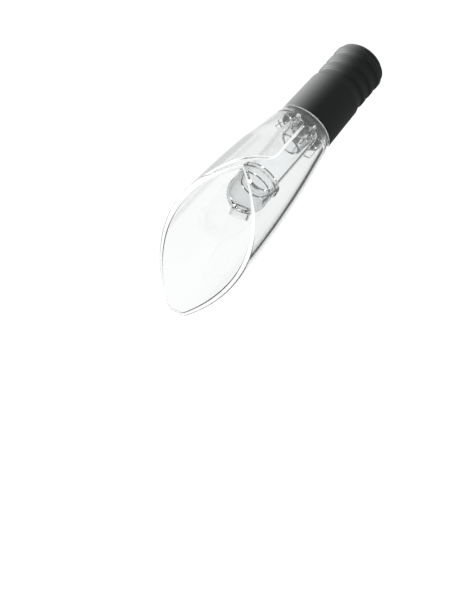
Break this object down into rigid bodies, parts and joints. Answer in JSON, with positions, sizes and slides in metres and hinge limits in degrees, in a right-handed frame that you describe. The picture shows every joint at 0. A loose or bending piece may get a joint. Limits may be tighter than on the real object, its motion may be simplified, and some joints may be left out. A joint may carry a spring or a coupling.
{
  "type": "wine aerator pourer",
  "caption": "Bottle pourer with a ribbed soft stopper, an inner tube that mixes air into the wine, a slanted domed nozzle and a clear lily-shaped spout.",
  "frame": {"origin": "on the axis at the stopper's bottom end, where the wine enters", "axes": "+Z along the axis from the stopper to the spout, -Y towards the open side of the spout, +Y towards the pouring lip"},
  "size_m": [0.0322, 0.0322, 0.112],
  "materials": {
    "soft_black_rubber": "matt",
    "clear_plastic": "polished clear"
  },
  "bodies": {
    "root": {"stopper": "soft_black_rubber", "inlet_core": "clear_plastic", "mixing_tube": "clear_plastic", "nozzle": "clear_plastic", "spout_shell": "clear_plastic"}
  },
  "joints": []
}
